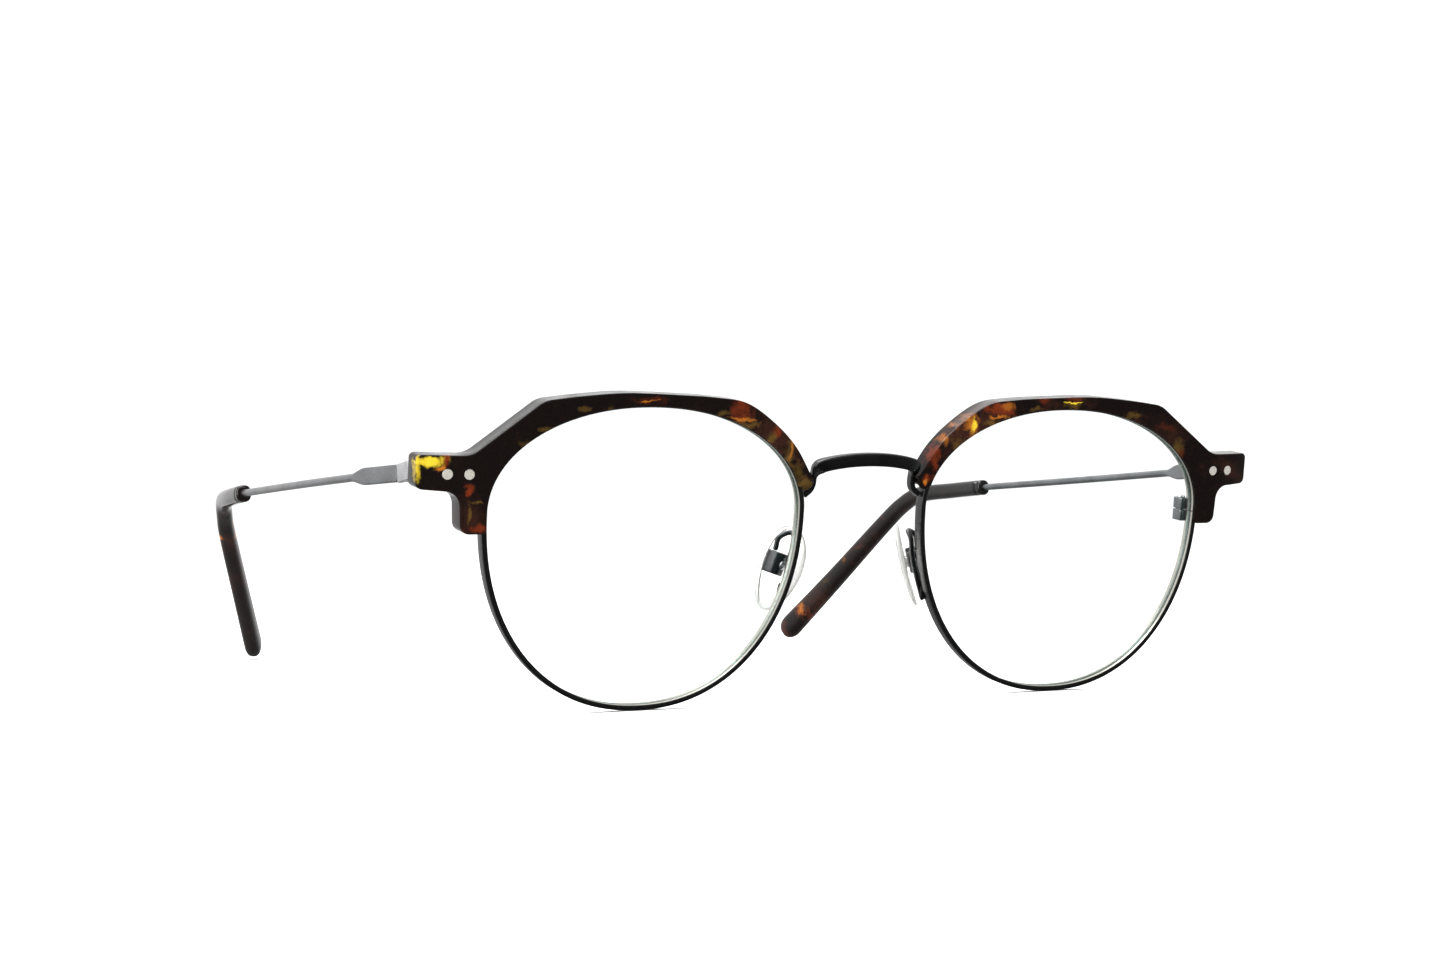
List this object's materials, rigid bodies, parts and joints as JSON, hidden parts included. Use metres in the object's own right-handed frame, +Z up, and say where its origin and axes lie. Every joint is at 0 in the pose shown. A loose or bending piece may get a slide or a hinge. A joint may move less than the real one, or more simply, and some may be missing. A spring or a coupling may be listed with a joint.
{
  "type": "browline eyeglasses",
  "caption": "Browline eyeglasses with acetate brows over slim metal eyewires, riveted end blocks, folding metal temples with acetate tips and rocking nose pads.",
  "frame": {"origin": "centre of the bounding box in X and Y, on the plane that the rims and the temple tips stand on", "axes": "+X to the side of the right-hand pieces as seen from the front, +Y back from the front to the temple tips, +Z up"},
  "size_m": [0.1472, 0.1418, 0.0467],
  "materials": {
    "black_metal": "satin black coating",
    "gunmetal": "brushed gunmetal plating",
    "silver": "bright nickel silver",
    "acetate": "polished dark tortoiseshell cellulose acetate",
    "lens": "clear uncoated plastic lens",
    "pad": "clear soft plastic over a thin core"
  },
  "bodies": {
    "front": {"bridge": "black_metal", "brow_left": "acetate", "brow_right": "acetate", "closing_block_lower_left": "gunmetal", "closing_block_lower_right": "gunmetal", "closing_block_upper_left": "gunmetal", "closing_block_upper_right": "gunmetal", "closing_screw_left": "gunmetal", "closing_screw_right": "gunmetal", "end_strip_left": "gunmetal", "end_strip_right": "gunmetal", "eyewire_left": "black_metal", "eyewire_right": "black_metal", "hinge_front_left": "gunmetal", "hinge_front_right": "gunmetal", "hinge_screw_left": "silver", "hinge_screw_right": "silver", "lens_left": "lens", "lens_right": "lens", "pad_arm_left": "gunmetal", "pad_arm_right": "gunmetal", "pad_box_left": "gunmetal", "pad_box_right": "gunmetal", "pad_screw_left": "silver", "pad_screw_right": "silver", "rivet_inner_left": "silver", "rivet_inner_right": "silver", "rivet_outer_left": "silver", "rivet_outer_right": "silver"},
    "temple_right": {"hinge_temple_right": "gunmetal", "temple_right": "gunmetal", "temple_tip_right": "acetate"},
    "temple_left": {"hinge_temple_left": "gunmetal", "temple_left": "gunmetal", "temple_tip_left": "acetate"},
    "pad_right": {"nose_pad_right": "pad"},
    "pad_left": {"nose_pad_left": "pad"}
  },
  "joints": [
    {"name": "temple_fold_right", "type": "hinge", "parent": "front", "child": "temple_right", "pos_m": [0.06825, -0.05831, 0.0349], "axis": [0, 0.0436, 0.999], "range_deg": [0, 85]},
    {"name": "temple_fold_left", "type": "hinge", "parent": "front", "child": "temple_left", "pos_m": [-0.06825, -0.05831, 0.0349], "axis": [0, -0.0436, -0.999], "range_deg": [0, 74]},
    {"name": "pad_rock_right", "type": "hinge", "parent": "front", "child": "pad_right", "pos_m": [0.01212, -0.06176, 0.02119], "axis": [-0.4104, -0.8725, -0.2653], "range_deg": [-6, 6]},
    {"name": "pad_rock_left", "type": "hinge", "parent": "front", "child": "pad_left", "pos_m": [-0.01212, -0.06176, 0.02119], "axis": [0.4104, -0.8725, -0.2653], "range_deg": [-6, 6]}
  ]
}
